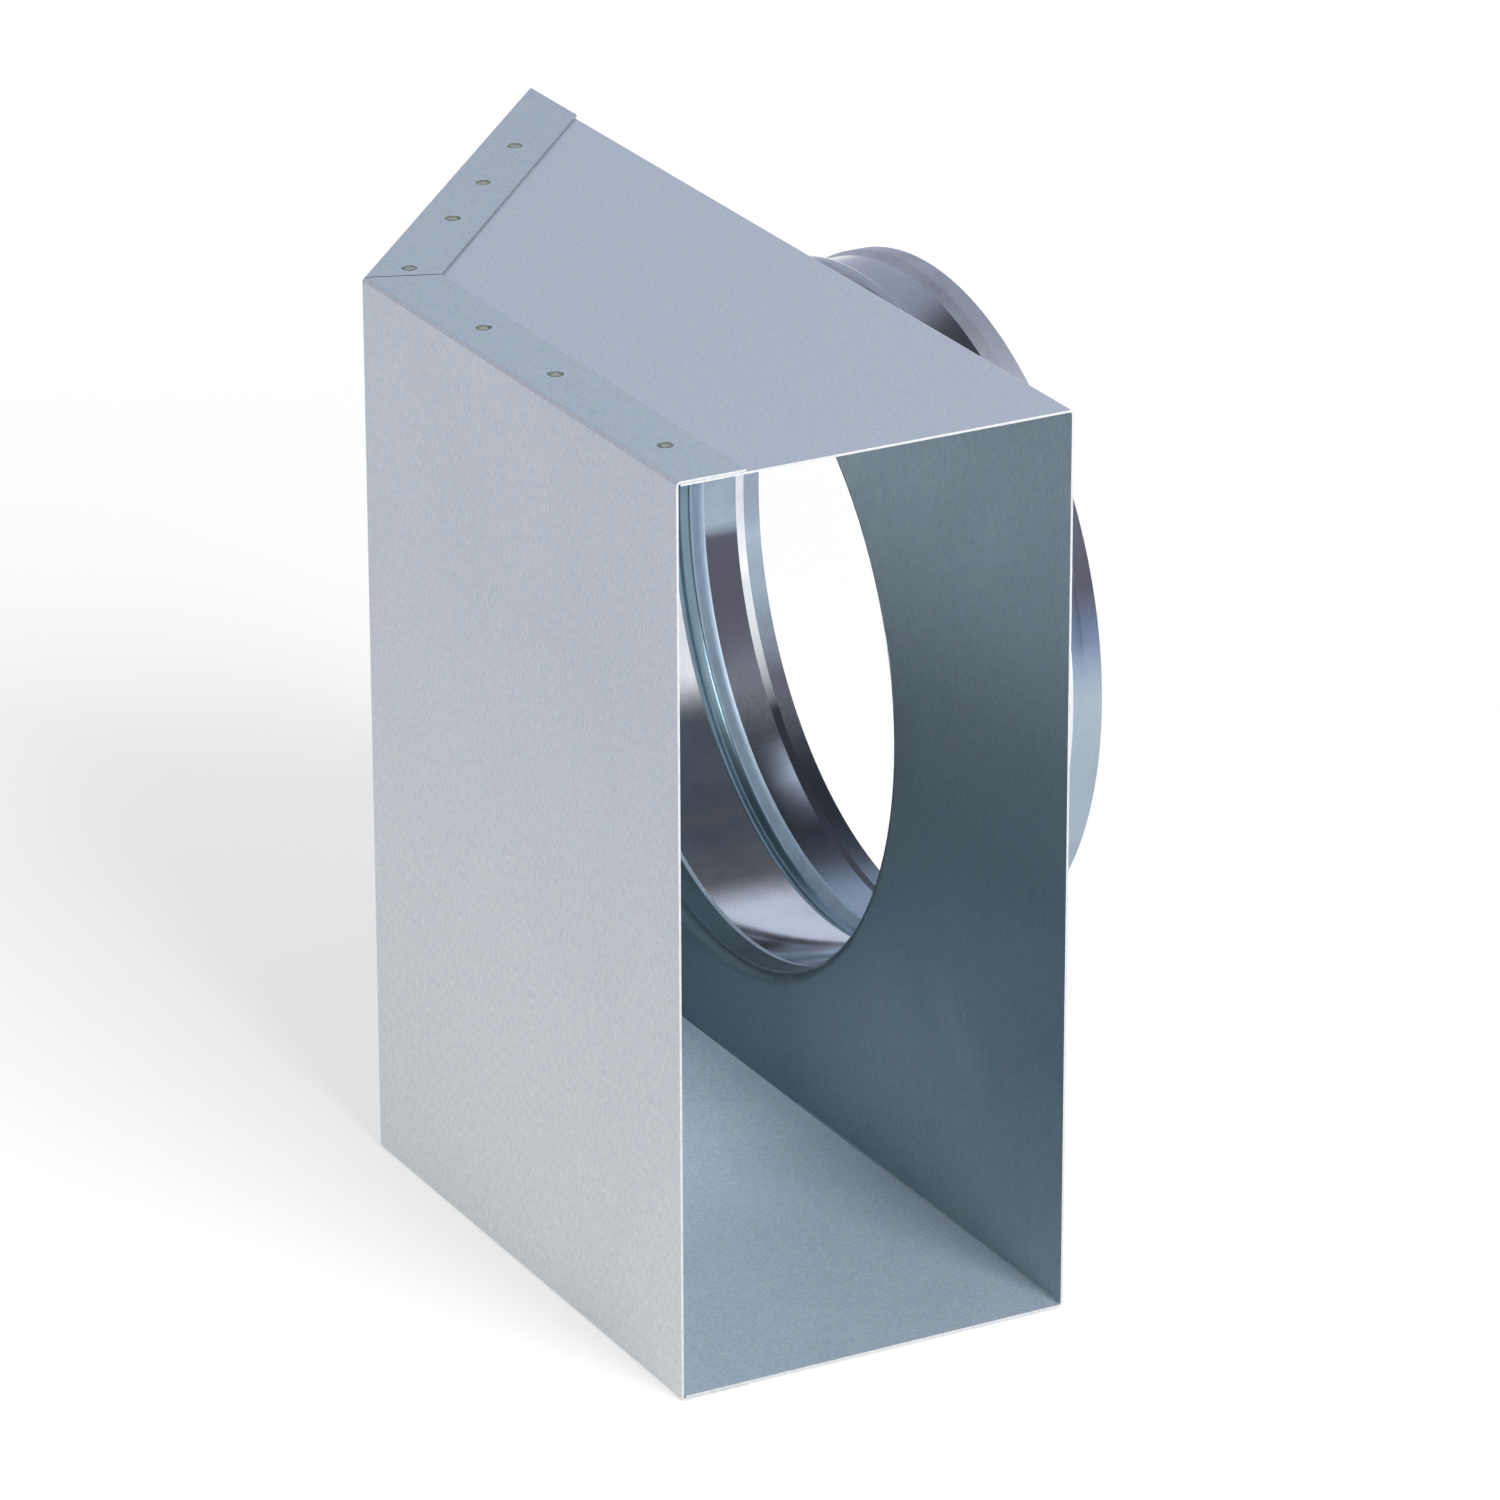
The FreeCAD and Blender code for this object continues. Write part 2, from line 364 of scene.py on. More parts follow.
@dataclass(frozen=True)
class TintAndPaintedLight:
    """Tint on a face, mostly painted light and shade: its share, light it lets back, how it dulls.
    """

    share: float
    tint: Colour
    dulls: float = 0.0
    SHARE: ClassVar[str] = "tint_and_light_share"
    TINT: ClassVar[str] = "tint_and_light_colour"
    DULLS: ClassVar[str] = "tint_and_light_dulls"

    def towards(self, other: "TintAndPaintedLight", part: float) -> "TintAndPaintedLight":
        """Tint between this one and another.

        Args:
            other: The other film.
            part: How far towards it, cut to 0 and 1.

        Returns:
            The film in between.
        """
        part = min(max(part, 0.0), 1.0)
        tint = tuple(mine + (yours - mine) * part for mine, yours in zip(self.tint, other.tint))
        return TintAndPaintedLight(self.share + (other.share - self.share) * part, tint,
                    self.dulls + (other.dulls - self.dulls) * part)

    @staticmethod
    def at_height(table: "TintTable", height: float) -> "TintAndPaintedLight":
        """Reads a table of films by height.

        Args:
            table: The films and their heights.
            height: The height to read it at.

        Returns:
            The film at that height, in even steps between the rows.
        """
        below, layer = table[0]
        for above, next_layer in table[1:]:
            layer = layer.towards(next_layer, (height - below) / (above - below))
            below = above
        return layer

    @staticmethod
    def lay(mesh: Sheet, tint_and_light_at: Callable[[Face, Vector], "TintAndPaintedLight"]) -> None:
        """Writes the tint and painted light at each face's corners, where the finishes read it.

        Args:
            mesh: The sheet's mesh.
            tint_and_light_at: Gives the tint and painted light on a face at a place.
        """
        layers = mesh.loops.layers
        shares = layers.float.new(TintAndPaintedLight.SHARE)
        tints = layers.float_color.new(TintAndPaintedLight.TINT)
        dulls = layers.float.new(TintAndPaintedLight.DULLS)
        for face in mesh.faces:
            for corner in face.loops:
                layer = tint_and_light_at(face, corner.vert.co)
                corner[shares] = layer.share
                corner[tints] = (*layer.tint, 1.0)
                corner[dulls] = layer.dulls


# Heights over the floor, from the lowest up, each with its tint and painted light
TintTable = tuple[tuple[float, TintAndPaintedLight], ...]
CLEAN = TintAndPaintedLight(0.0, (1.0, 1.0, 1.0))
# Painted reflections on the mirror-bright collar: dark tints on slightly rougher metal
PALE_PAINTED_REFLECTION = TintAndPaintedLight(1.0, (0.42, 0.50, 0.57), 0.1)
DIM_PAINTED_REFLECTION = TintAndPaintedLight(1.0, (0.26, 0.265, 0.285), 0.16)
DARK_PAINTED_REFLECTION = TintAndPaintedLight(1.0, (0.04, 0.044, 0.056), 0.2)
MAUVE_PAINTED_REFLECTION = TintAndPaintedLight(1.0, (0.12, 0.115, 0.14), 0.2)
# Painted reflections low inside the collar: pale lowest, dim from a little higher up
LOW_IN_THE_COLLAR: TintTable = ((27 * MM, PALE_PAINTED_REFLECTION), (33 * MM, DIM_PAINTED_REFLECTION), (48 * MM, DIM_PAINTED_REFLECTION))


@dataclass(frozen=True)
class SheetFinish:
    """Galvanised sheet: fine grain, mottles, patches, bright flecks, under tints and painted light.
    """

    name: str
    colour: Colour
    shade: Colour
    roughness: float
    grain: Grain
    metallic: float = 0.7
    grains: Noise = Noise(0.75 * MM, 3.0, 0.65)
    flecks: Noise = Noise(0.6 * MM, 1.0)
    mottles: Noise = Noise(3.5 * MM, 2.0, 0.6)
    patches: Noise = Noise(22 * MM, 3.0, 0.6)
    clouds: Noise = Noise(28 * MM, 4.0, 0.55)
    waves: Noise = Noise(60 * MM, 1.0)
    fleck_range: Range = (0.66, 0.80)
    mottle_range: Range = (0.35, 0.65)
    patch_range: Range = (0.45, 0.6)
    fleck_share: float = 0.5
    mottle_share: float = 0.5
    grain_share: float = 0.45
    fleck_colour: Colour = (0.9, 0.91, 0.92)
    patch_colour: Colour = (1.0, 1.0, 1.0)
    grain_contrast: float = 0.16
    warmth: float = 0.05
    grain_depth: float = 0.004 * MM
    wave_depth: float = 0.12 * MM
    cloud_roughens: float = 0.05
    grain_roughens: float = 0.06

    def coat(self, graph: SurfaceGraph, along: Socket, cloud: Socket, grain: Socket) -> Socket:
        """Works out the colour of the zinc, before its film.

        Args:
            graph: The material's nodes.
            along: Object coordinates, stretched with the grain.
            cloud: The cloudy patches.
            grain: The fine grain.

        Returns:
            The colour's output.
        """
        mottle = graph.spread(graph.noise(graph.place, self.mottles), *self.mottle_range)
        mottled = graph.blend(mottle, warmed(self.shade, -self.warmth),
                              warmed(self.colour, self.warmth))
        cloudy = graph.blend(graph.spread(cloud, *SOFTLY), self.shade, self.colour)
        grained = graph.blend(graph.spread(grain, *SOFTLY),
                              scaled(self.shade, 1 - self.grain_contrast),
                              scaled(self.colour, 1 + self.grain_contrast))
        colour = graph.blend(self.mottle_share, cloudy, mottled)
        colour = graph.blend(self.grain_share, colour, grained)
        patch = graph.spread(graph.noise(graph.place, self.patches), *self.patch_range)
        colour = graph.blend(patch, colour, self.patch_colour, "MULTIPLY")
        fleck = graph.spread(graph.noise(along, self.flecks), *self.fleck_range)
        fleck = graph.maths("MULTIPLY", fleck, self.fleck_share)
        return graph.blend(fleck, colour, self.fleck_colour)

    def build(self) -> bpy.types.Material:
        """Makes the material.

        Returns:
            The material, which reads Object coordinates and the sheet's tint and painted light.
        """
        graph = SurfaceGraph(self.name)
        along = graph.step("ShaderNodeMapping", {"Vector": graph.place, "Scale": self.grain.value})
        grain = graph.noise(along, self.grains)
        cloud = graph.noise(graph.place, self.clouds)
        wave = graph.noise(graph.place, self.waves)
        colour = graph.under_tint_and_light(self.coat(graph, along, cloud, grain))
        rough = graph.about(self.roughness, self.cloud_roughens, cloud)
        rough = graph.maths("ADD", rough, graph.maths("MULTIPLY", grain, self.grain_roughens))
        layer = graph.maths("MULTIPLY", graph.attribute(TintAndPaintedLight.SHARE), graph.attribute(TintAndPaintedLight.DULLS))
        rough = graph.maths("ADD", rough, layer)
        rough = graph.maths("SUBTRACT", rough, self.grain_roughens / 2)
        fine = graph.hills(grain, self.grain_depth)
        return graph.dressed(colour, self.metallic, rough, graph.hills(wave, self.wave_depth, fine))


@dataclass(frozen=True)
class CutEdgeFinish:
    """Sheared edge of the sheet: bright, with short burnish marks across it."""

    name: str = "cut_edge_bright"
    colour: Colour = (0.74, 0.76, 0.78)
    worn: float = 0.88
    worn_range: Range = (0.3, 0.6)
    metallic: float = 0.55
    roughness: float = 0.38
    roughness_varies: float = 0.2
    marks: Noise = Noise(1.2 * MM, 2.0)
    mark_depth: float = 0.01 * MM

    def build(self) -> bpy.types.Material:
        """Makes the material.

        Returns:
            The material, which reads Object coordinates and the sheet's tint and painted light.
        """
        graph = SurfaceGraph(self.name)
        marks = graph.noise(graph.place, self.marks)
        colour = graph.blend(graph.spread(marks, *self.worn_range), scaled(self.colour, self.worn),
                             self.colour)
        return graph.dressed(graph.under_tint_and_light(colour), self.metallic,
                             graph.about(self.roughness, self.roughness_varies, marks),
                             graph.hills(marks, self.mark_depth))


@dataclass(frozen=True)
class WeldFinish:
    """Print of the welding electrode: a pale, polished middle in a burnt, ragged ring."""

    name: str = "weld_heat_tint"
    middle: Colour = (0.39, 0.42, 0.35)
    olive: Colour = (0.20, 0.23, 0.16)
    burnt: Colour = (0.06, 0.07, 0.06)
    sheet: Colour = (0.53, 0.60, 0.68)
    olive_range: Range = (0.25, 0.6)
    burnt_range: Range = (0.35, 0.6)
    burnt_side: Range = (0.1, 0.9)
    burnt_share: float = 0.8
    sheet_range: Range = (0.66, 0.88)
    speckles: Noise = Noise(0.8 * MM, 2.0)
    blotches: Noise = Noise(3.0 * MM, 1.0)
    noise_range: Range = (0.2, 0.8)
    ragged: float = 0.15
    wanders: float = 0.8
    metallic: float = 0.7
    roughness: float = 0.45
    roughness_varies: float = 0.2
    pit_depth: float = 0.03 * MM

    def build(self) -> bpy.types.Material:
        """Makes the material.

        Returns:
            The material, which reads the marks' own attributes.
        """
        graph = SurfaceGraph(self.name)
        speckle = graph.noise(graph.place, self.speckles)
        blotch = graph.noise(graph.place, self.blotches)
        reach = graph.maths("ADD", graph.attribute(SpotWelds.REACH),
                            graph.spread(speckle, *self.noise_range, -self.ragged, self.ragged))
        lean = graph.maths("ADD", graph.attribute(SpotWelds.LEAN),
                           graph.spread(blotch, *self.noise_range, -self.wanders, self.wanders))
        arc = graph.maths("MULTIPLY", graph.spread(lean, *self.burnt_side),
                          graph.spread(reach, *self.burnt_range))
        colour = graph.blend(graph.spread(reach, *self.olive_range), self.middle, self.olive)
        colour = graph.blend(graph.maths("MULTIPLY", arc, self.burnt_share), colour, self.burnt)
        colour = graph.blend(graph.spread(reach, *self.sheet_range), colour, self.sheet)
        return graph.dressed(colour, self.metallic,
                             graph.about(self.roughness, self.roughness_varies, speckle),
                             graph.hills(speckle, self.pit_depth))


def put_in_scene(name: str, data: bpy.types.ID) -> Piece:
    """Makes an object of a mesh, a lamp or a camera and links it to the scene.

    Args:
        name: The object's name.
        data: What it is made of.

    Returns:
        The object.
    """
    made = bpy.data.objects.new(name, data)
    bpy.context.scene.collection.objects.link(made)
    return made


def finished_piece(name: str, source: Piece) -> Piece:
    """Turns what the modifiers make of an object into a plain mesh of its own.

    Args:
        name: The finished piece's name.
        source: The object with its modifiers, which is deleted.

    Returns:
        The finished piece, at the origin and without modifiers.
    """
    bpy.context.view_layer.update()
    depsgraph = bpy.context.evaluated_depsgraph_get()
    mesh = bpy.data.meshes.new_from_object(source.evaluated_get(depsgraph), depsgraph=depsgraph)
    mesh.name = name
    bpy.data.objects.remove(source)
    return put_in_scene(name, mesh)


def hand_over(piece: Piece, node: str = "") -> Piece:
    """Seats a finished piece on the root.

    Args:
        piece: The finished piece.
        node: The solid that it stands for, if it stands for one.

    Returns:
        The same piece.
    """
    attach(piece, Body.ROOT.value)
    if node:
        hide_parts(node)
    return piece


def even_shading(mesh: Sheet, crease_degrees: float = 40.0) -> None:
    """Shades faces smoothly across bends and keeps an edge at each sharp corner.

    Args:
        mesh: The sheet's mesh.
        crease_degrees: The turn from which a corner is sharp.
    """
    for face in mesh.faces:
        face.smooth = True
    for edge in mesh.edges:
        edge.smooth = edge.calc_face_angle(math.pi) < math.radians(crease_degrees)


def weigh_normals(piece: Piece, weight: int = 100) -> None:
    """Lets the flats keep their own normal, so that only the bends turn the light.

    Args:
        piece: The sheet.
        weight: How much the larger faces count, where 50 is as much as the others.
    """
    weighted = piece.modifiers.new("flats_keep_their_normal", "WEIGHTED_NORMAL")
    weighted.mode = "FACE_AREA"
    weighted.weight = weight
    weighted.keep_sharp = True


@dataclass
class DuctSizes:
    """Sizes of the elbow that its sheets share, in metres."""

    sheet: float = 0.5 * MM
    lip_height: float = 7.5 * MM
    lip_bend: float = 2.5 * MM
    collar_bore: float = field(init=False)
    wall_outer: float = field(init=False)
    wall_inner: float = field(init=False)
    lap_outer: float = field(init=False)
    axis: Vector = field(init=False)

    def __post_init__(self) -> None:
        """Reads the collar's bore from the record and the wall's place from the solids."""
        mounts = frame["record"]["mounts"]
        bore = next(mount for mount in mounts if mount["kind"] == "bore")
        self.collar_bore = bore["dims"]["r_mm"] * MM
        lip_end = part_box("channel_sheet")[1].x
        self.wall_outer = lip_end - self.lip_height
        self.wall_inner = self.wall_outer - self.sheet
        self.lap_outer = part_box("wrapper_sheet")[1].x
        low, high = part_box("round_collar")
        self.axis = Vector((self.wall_outer, (low.y + high.y) / 2, (low.z + high.z) / 2))


@dataclass
class PressedSheet:
    """A sheet that keeps the shape of its solid, with merged faces and bright cut edges."""

    name: str
    node: str
    slot: Slot
    finish: SheetFinish
    edge_finish: CutEdgeFinish
    sizes: DuctSizes
    merge_distance: float = 0.002 * MM
    cell: float = 30 * MM
    looks_from: float = 0.02
    edge_depth: float = 1.4

    def merged_solid(self) -> Sheet:
        """Copies the solid's mesh and joins its loose triangles.

        Returns:
            The joined mesh.
        """
        mesh = bmesh.new()
        mesh.from_mesh(frame["nodes"][self.node].data)
        bmesh.ops.remove_doubles(mesh, verts=mesh.verts, dist=self.merge_distance)
        return mesh

    def mark_cut_edges(self, mesh: Sheet) -> None:
        """Gives the edge finish to each face with more than one sheet of metal behind it.

        Args:
            mesh: The sheet's mesh.
        """
        tree = BVHTree.FromBMesh(mesh)
        for face in mesh.faces:
            start = face.calc_center_median() - face.normal * (self.looks_from * self.sizes.sheet)
            _, _, _, metal = tree.ray_cast(start, -face.normal)
            face.material_index = int(metal is None or metal > self.edge_depth * self.sizes.sheet)

    def cut_flats(self, mesh: Sheet) -> None:
        """Cuts the flats into cells along Y and Z, so that tint and painted shade vary over them.

        Args:
            mesh: The sheet's mesh, whose shape stays as it is.
        """
        low, high = CAD_BOX
        for way in (Vector((0.0, 1.0, 0.0)), Vector((0.0, 0.0, 1.0))):
            start, end = Vector(low).dot(way), Vector(high).dot(way)
            for step in range(1, math.ceil((end - start) / self.cell)):
                everything = mesh.verts[:] + mesh.edges[:] + mesh.faces[:]
                bmesh.ops.bisect_plane(mesh, geom=everything, dist=self.merge_distance,
                                       plane_co=way * (start + step * self.cell), plane_no=way)

    def tint_and_light_at(self, face: Face, place: Vector) -> TintAndPaintedLight:
        """The tint and painted light on a face at a place, where the sheet has any."""
        return CLEAN

    def build(self) -> Piece:
        """Makes the sheet and dresses it.

        Returns:
            The finished piece, which stands for its solid.
        """
        joined = self.merged_solid()
        self.mark_cut_edges(joined)
        self.cut_flats(joined)
        TintAndPaintedLight.lay(joined, self.tint_and_light_at)
        even_shading(joined)
        mesh = bpy.data.meshes.new(self.name)
        mesh.materials.append(self.finish.build())
        mesh.materials.append(self.edge_finish.build())
        joined.to_mesh(mesh)
        joined.free()
        source = put_in_scene(self.name + "_source", mesh)
        weigh_normals(source)
        return hand_over(finished_piece(self.name, source), self.node)


def faces_in(face: Face) -> bool:
    """Whether a face looks at the middle of the elbow."""
    middle = (Vector(CAD_BOX[0]) + Vector(CAD_BOX[1])) / 2
    return face.normal.dot(middle - face.calc_center_median()) > 0


def depth_in_duct(face: Face) -> float:
    """How deep in the duct a face lies.

    Args:
        face: A face of a sheet.

    Returns:
        How far its middle lies from the nearer of the elbow's bottom and top.
    """
    floor, top = (corner[2] for corner in CAD_BOX)
    height = face.calc_center_median().z
    return min(height - floor, top - height)


@dataclass
class FoldedChannel(PressedSheet):
    """The channel: painted shade inside on its wall and lip, most of all at the back."""

    # Painted shade inside: deep mid-height, lighter at the top and low down by the mouth
    wall_shade_by_mouth: TintAndPaintedLight = TintAndPaintedLight(1.0, (0.74, 0.82, 0.75))
    wall_deep_shade: TintAndPaintedLight = TintAndPaintedLight(1.0, (0.25, 0.335, 0.345))
    wall_shade_at_top: TintAndPaintedLight = TintAndPaintedLight(1.0, (0.86, 0.98, 0.97))
    wall_heights: tuple[float, ...] = (15 * MM, 49 * MM, 108 * MM, 164 * MM)
    wall_shade_deepens: Range = (-120 * MM, 0 * MM)
    # Painted light on the inner faces of both plates, brighter towards the back; these faces are
    # rougher too
    floor_light_at_mouth: TintAndPaintedLight = TintAndPaintedLight(1.0, (1.03, 1.12, 1.15), 0.35)
    floor_light_at_back: TintAndPaintedLight = TintAndPaintedLight(1.0, (1.47, 1.54, 1.55), 0.35)
    floor_light_grows: Range = (-50 * MM, 5 * MM)
    plate_sheets: float = 3.0

    def tint_and_light_at(self, face: Face, place: Vector) -> TintAndPaintedLight:
        """Painted shade on the wall and lip, painted light on the plates, inside; else clean.

        Args:
            face: A face of the sheet.
            place: A corner of that face.

        Returns:
            The tint at that place.
        """
        if not faces_in(face):
            return CLEAN
        on_plate = depth_in_duct(face) < self.plate_sheets * self.sizes.sheet
        if on_plate and abs(face.normal.z) > SQUARE_ON:
            # Painted light on the plates, growing from the mouth to the back
            near, far = self.floor_light_grows
            return self.floor_light_at_mouth.towards(self.floor_light_at_back, (place.y - near) / (far - near))
        # Painted shade on the wall and lip, by height and distance from the mouth
        near, far = self.wall_shade_deepens
        low = self.wall_shade_by_mouth.towards(self.wall_deep_shade, (place.y - near) / (far - near))
        films = (low, self.wall_deep_shade, self.wall_deep_shade, self.wall_shade_at_top)
        return TintAndPaintedLight.at_height(tuple(zip(self.wall_heights, films)), place.z)


@dataclass
class FoldedWrapper(PressedSheet):
    """The wrapper: darker flanges, painted shade on its outer walls and cut rims, clean inside."""

    # Painted shade on the outer walls: none at the floor, deeper and bluer towards the top
    wall_painted_shade: TintTable = (
        (-10 * MM, TintAndPaintedLight(0.0, (0.48, 0.53, 0.68))), (150 * MM, TintAndPaintedLight(0.43, (0.48, 0.53, 0.68))),
        (200 * MM, TintAndPaintedLight(0.47, (0.48, 0.53, 0.68))))
    # Darker, bluer tint on the flanges than on the walls
    flange_tint: TintAndPaintedLight = TintAndPaintedLight(1.0, (0.615, 0.69, 0.76))
    # Painted shadow on the flanges' cut rims: light on the side flange, darker on the slanted
    # deflector, near black in the mitre
    rim_tint: TintAndPaintedLight = TintAndPaintedLight(1.0, (0.60, 0.66, 0.72))
    slant_painted_shadow: TintAndPaintedLight = TintAndPaintedLight(1.0, (0.36, 0.41, 0.46))
    mitre_painted_shadow: TintAndPaintedLight = TintAndPaintedLight(1.0, (0.10, 0.11, 0.12))
    straight_on: float = 0.95
    mitre_on: float = 0.8

    def tint_and_light_at(self, face: Face, place: Vector) -> TintAndPaintedLight:
        """Flange tint, painted shadow on the cut rims and painted shade on the outer walls.

        Args:
            face: A face of the sheet.
            place: A corner of that face.

        Returns:
            The tint at that place.
        """
        if abs(face.normal.z) > SQUARE_ON:
            return self.flange_tint
        if not face.material_index:
            # Clean inside; painted shade on the outer walls
            return CLEAN if faces_in(face) else TintAndPaintedLight.at_height(self.wall_painted_shade, place.z)
        if face.normal.y < -self.straight_on or depth_in_duct(face) > self.sizes.sheet:
            return CLEAN
        # Painted shadow on the other cut rims at the plates' level
        if abs(face.normal.y) > self.mitre_on:
            return self.mitre_painted_shadow
        return self.rim_tint if face.normal.x > self.straight_on else self.slant_painted_shadow


@dataclass
class RolledCollar:
    """The round collar: a section with its stop bead and opened rim, swept round the axis."""

    sizes: DuctSizes
    finish: SheetFinish
    edge_finish: CutEdgeFinish
    BEND: ClassVar[str] = "bend_radius"
    name: str = "rolled_collar"
    lap_gap: float = 0.05 * MM
    length: float = 51.0 * MM
    socket_slope: float = 1.0 * MM
    bead_start: float = 29.0 * MM
    bead_width: float = 6.5 * MM
    bead_rise: float = 1.8 * MM
    bead_flank: float = 2.0 * MM
    bead_radius: float = 2.0 * MM
    rim_start: float = 44.5 * MM
    rim_rise: float = 0.9 * MM
    rim_slope: float = 2.5 * MM
    crease_radius: float = 0.3 * MM
    flats_in_a_bend: int = 6
    segments: int = 288
    # Tints on top of the outside: darker before the rim, paler and rougher on the rim
    outer_top_tint: TintAndPaintedLight = TintAndPaintedLight(1.0, (0.52, 0.54, 0.58), 0.08)
    rim_tint: TintAndPaintedLight = TintAndPaintedLight(1.0, (0.66, 0.66, 0.71), 0.5)
    # Painted reflections low on the outside of the rim, by height: pale blue, dark blue, then dark
    # mauve
    side_painted_reflections: TintTable = (
        (102 * MM, TintAndPaintedLight(1.0, (0.48, 0.55, 0.60), 0.2)),
        (116 * MM, TintAndPaintedLight(1.0, (0.22, 0.28, 0.40), 0.2)),
        (126 * MM, MAUVE_PAINTED_REFLECTION), (150 * MM, MAUVE_PAINTED_REFLECTION))
    side_reflections_end: float = 160 * MM
    # Painted highlight on the socket's step: a tint lighter than the metal, on rougher metal
    step_painted_highlight: TintAndPaintedLight = TintAndPaintedLight(1.0, (1.05, 1.12, 1.16), 0.5)
    # Painted reflections on the bead, teal, and on its far flank, bluish; the rolled metal there is
    # rougher
    bead_painted_reflection: TintAndPaintedLight = TintAndPaintedLight(1.0, (0.24, 0.34, 0.38), 0.2)
    flank_painted_reflection: TintAndPaintedLight = TintAndPaintedLight(1.0, (0.80, 0.92, 1.0), 0.5)
    # How far past the bead's ends its painted reflections reach
    reflection_margin: float = 0.9 * MM
    # Painted reflections inside the spigot, by height: pale and dim low down, dark mauve through
    # the middle, pale at the top
    spigot_painted_reflections: TintTable = (
        *LOW_IN_THE_COLLAR, (66 * MM, MAUVE_PAINTED_REFLECTION), (90 * MM, MAUVE_PAINTED_REFLECTION), (93 * MM, PALE_PAINTED_REFLECTION))
    # Light painted reflection around one height, growing towards the rim
    light_painted_reflection: TintAndPaintedLight = TintAndPaintedLight(1.0, (0.74, 0.84, 0.98), 0.5)
    light_reflection_height: float = 40 * MM
    light_reflection_reach: float = 8 * MM
    # Painted shade low on the rim's slope, fading out upwards; painted reflections inside the rim,
    # by height
    slope_painted_shade: TintTable = ((52 * MM, DARK_PAINTED_REFLECTION), (74 * MM, CLEAN))
    rim_painted_reflections: TintTable = (*LOW_IN_THE_COLLAR, (58 * MM, MAUVE_PAINTED_REFLECTION), (76 * MM, PALE_PAINTED_REFLECTION))

    def inner_corners(self) -> list[tuple[float, float, float]]:
        """Corners of the inner face.

        Returns:
            The reach from the wall, the radius and the bend's inside radius of each corner.
        """
        bore = self.sizes.collar_bore
        socket = bore + self.sizes.sheet + self.lap_gap
        socket_end = self.sizes.lip_height + self.lap_gap
        bead_end = self.bead_start + self.bead_width
        crest = bore + self.bead_rise
        rim = bore + self.rim_rise
        crease, bead = self.crease_radius, self.bead_radius
        return [
            (self.sizes.lip_bend + self.lap_gap, socket, 0.0),
            (socket_end, socket, crease),
            (socket_end + self.socket_slope, bore, crease),
            (self.bead_start, bore, bead),
            (self.bead_start + self.bead_flank, crest, bead),
            (bead_end - self.bead_flank, crest, bead),
            (bead_end, bore, bead),
            (self.rim_start, bore, crease),
            (self.rim_start + self.rim_slope, rim, crease),
            (self.length, rim, 0.0),
        ]

    def section(self) -> Piece:
        """Closed section of the sheet, drawn as a loop of edges that knows each bend's radius.

        Returns:
            The object that the sweep starts from.
        """
        inner = self.inner_corners()
        outer = []
        for index, (reach, radius, bend) in enumerate(inner):
            here = Vector((reach, radius))
            before = Vector(inner[max(index - 1, 0)][:2])
            after = Vector(inner[min(index + 1, len(inner) - 1)][:2])
            arriving = (here - before).normalized() if index else (after - here).normalized()
            leaving = (after - here).normalized() if index < len(inner) - 1 else arriving
            normal = Vector((-arriving.y, arriving.x)) + Vector((-leaving.y, leaving.x))
            shift = normal * (self.sizes.sheet / (1 + arriving.dot(leaving)))
            turn = arriving.x * leaving.y - arriving.y * leaving.x
            outside = bend and (bend + self.sizes.sheet * (-1 if turn > 0 else 1))
            outer.append((here.x + shift.x, here.y + shift.y, max(outside, 0.0)))
        loop = inner + outer[::-1]
        mesh = bpy.data.meshes.new("collar_section")
        edges = [(index, (index + 1) % len(loop)) for index in range(len(loop))]
        bore = self.sizes.collar_bore
        mesh.from_pydata([(radius - bore, -reach, 0.0) for reach, radius, _ in loop], edges, [])
        bends = mesh.attributes.new(self.BEND, "FLOAT", "POINT")
        bends.data.foreach_set("value", [bend for _, _, bend in loop])
        return put_in_scene("collar_section", mesh)

    def sweep_tree(self) -> bpy.types.NodeTree:
        """Tree that rounds the section's bends and sweeps it round the collar's axis.

        Returns:
            The node tree, with its sizes as named inputs.
        """
        graph = ShapeGraph("sweep_the_collar", {"Bore radius": "Float", "Flats in a bend": "Int",
                                                "Segments": "Int", "Centre": "Vector"})
        curve = graph.step("GeometryNodeMeshToCurve", {"Mesh": graph.given["Start"]})
        rounded = graph.step("GeometryNodeFilletCurve", {
            "Curve": curve, "Radius": graph.attribute(self.BEND, "FLOAT"),
            "Count": graph.given["Flats in a bend"], "Limit Radius": True,
        }, mode="POLY")
        path = graph.step("GeometryNodeCurvePrimitiveCircle", {
            "Resolution": graph.given["Segments"], "Radius": graph.given["Bore radius"],
        }, mode="RADIUS")
        swept = graph.step("GeometryNodeCurveToMesh", {"Curve": path, "Profile Curve": rounded})
        placed = graph.step("GeometryNodeTransform", {
            "Geometry": swept, "Translation": graph.given["Centre"],
            "Rotation": (0.0, QUARTER_TURN, 0.0)})
        return graph.dressed(placed)

    def outside_tints(self, reach: float, height: float) -> TintAndPaintedLight:
        """Outside: pale on top of the rim, dark painted reflections at its side by the mouth.

        Args:
            reach: The face's distance from the wall.
            height: The place's height over the floor.

        Returns:
            The tint at that place.
        """
        at_rim = reach > self.rim_start
        # Painted reflections on the rim's side, giving way to the tints on top
        side = TintAndPaintedLight.at_height(self.side_painted_reflections, height) if at_rim else CLEAN
        last, _ = self.side_painted_reflections[-1]
        over = self.rim_tint if at_rim else self.outer_top_tint
        return side.towards(over, (height - last) / (self.side_reflections_end - last))

